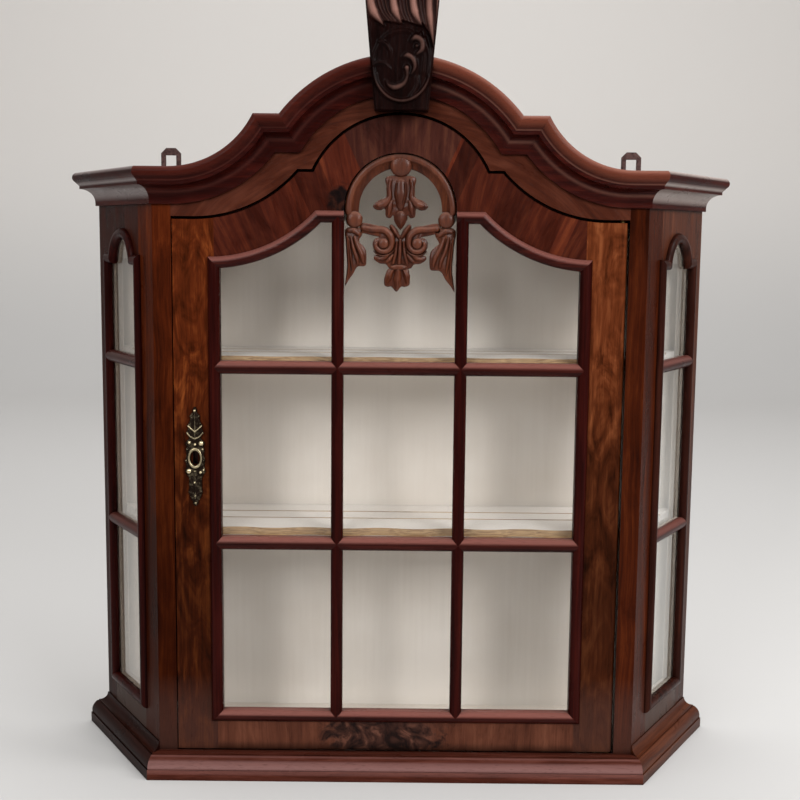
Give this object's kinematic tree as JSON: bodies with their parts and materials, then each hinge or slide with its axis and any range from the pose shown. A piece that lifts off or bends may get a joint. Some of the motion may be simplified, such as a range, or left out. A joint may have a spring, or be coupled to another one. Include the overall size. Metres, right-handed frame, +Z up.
{
  "type": "wall display cabinet",
  "caption": "Hanging display cabinet with canted glazed sides, a hinged and lockable glazed door under a moulded bonnet pediment with a keystone, and wavy-edged shelves inside.",
  "frame": {"origin": "middle of the plan, at the underside of the base", "axes": "+X to the right seen from the front, +Y from the door towards the wall, +Z up"},
  "size_m": [0.6372, 0.157, 0.706],
  "materials": {
    "walnut_veneer": "french-polished figured veneer",
    "bead_wood": "dark polished solid wood",
    "carved_wood": "waxed carved wood",
    "painted_wood": "matte off-white paint",
    "shelf_wood": "painted top, bare front edge",
    "glass": "clear old sheet",
    "putty": "matte brown putty",
    "antique_brass": "antique satin",
    "dark_iron": "dark satin"
  },
  "bodies": {
    "carcass": {"base_board": "painted_wood", "base_moulding_front": "walnut_veneer", "base_moulding_left": "walnut_veneer", "base_moulding_right": "walnut_veneer", "corner_post_left": "walnut_veneer", "corner_post_right": "walnut_veneer", "side_rear_stile_left": "walnut_veneer", "side_rear_stile_right": "walnut_veneer", "side_top_rail_left": "walnut_veneer", "side_top_rail_right": "walnut_veneer", "side_bottom_rail_left": "walnut_veneer", "side_bottom_rail_right": "walnut_veneer", "side_bead_left": "bead_wood", "side_bead_right": "bead_wood", "side_bars_left": "bead_wood", "side_bars_right": "bead_wood", "side_panes_left": "glass", "side_panes_right": "glass", "side_putty": "putty", "pediment_board": "walnut_veneer", "cornice_arch_left": "walnut_veneer", "cornice_arch_right": "walnut_veneer", "cornice_step_left": "walnut_veneer", "cornice_step_right": "walnut_veneer", "cornice_sweep_left": "walnut_veneer", "cornice_sweep_right": "walnut_veneer", "cornice_return_left": "walnut_veneer", "cornice_return_right": "walnut_veneer", "keystone": "carved_wood", "back_panel": "painted_wood", "roof_panel": "painted_wood", "shelf_upper": "shelf_wood", "shelf_lower": "shelf_wood", "shelf_cleats": "painted_wood", "hanger_left": "dark_iron", "hanger_right": "dark_iron", "hanger_screws": "dark_iron", "lock_keep": "antique_brass", "pivot_plates": "antique_brass", "door_stop": "painted_wood"},
    "door": {"door_lock_stile": "walnut_veneer", "door_hinge_stile": "walnut_veneer", "door_top_rail": "walnut_veneer", "door_bottom_rail": "walnut_veneer", "door_bead_left": "bead_wood", "door_bead_right": "bead_wood", "door_bead_bottom": "bead_wood", "door_bead_top_left": "bead_wood", "door_bead_top_right": "bead_wood", "door_muntin_left": "bead_wood", "door_muntin_right": "bead_wood", "door_bar_upper": "bead_wood", "door_bar_lower": "bead_wood", "door_panes": "glass", "door_putty": "putty", "carved_fretwork": "carved_wood", "escutcheon_plate": "antique_brass", "lock_case": "dark_iron", "door_pivots": "antique_brass"},
    "lock_bolt": {"lock_bolt": "dark_iron"}
  },
  "joints": [
    {"name": "door_hinge", "type": "hinge", "parent": "carcass", "child": "door", "pos_m": [0.195, -0.0425, 0.27], "axis": [0, 0, 1], "range_deg": [0, 95]},
    {"name": "bolt_slide", "type": "slide", "parent": "door", "child": "lock_bolt", "axis": [-1, 0, 0], "range_m": [0, 0.006]}
  ]
}
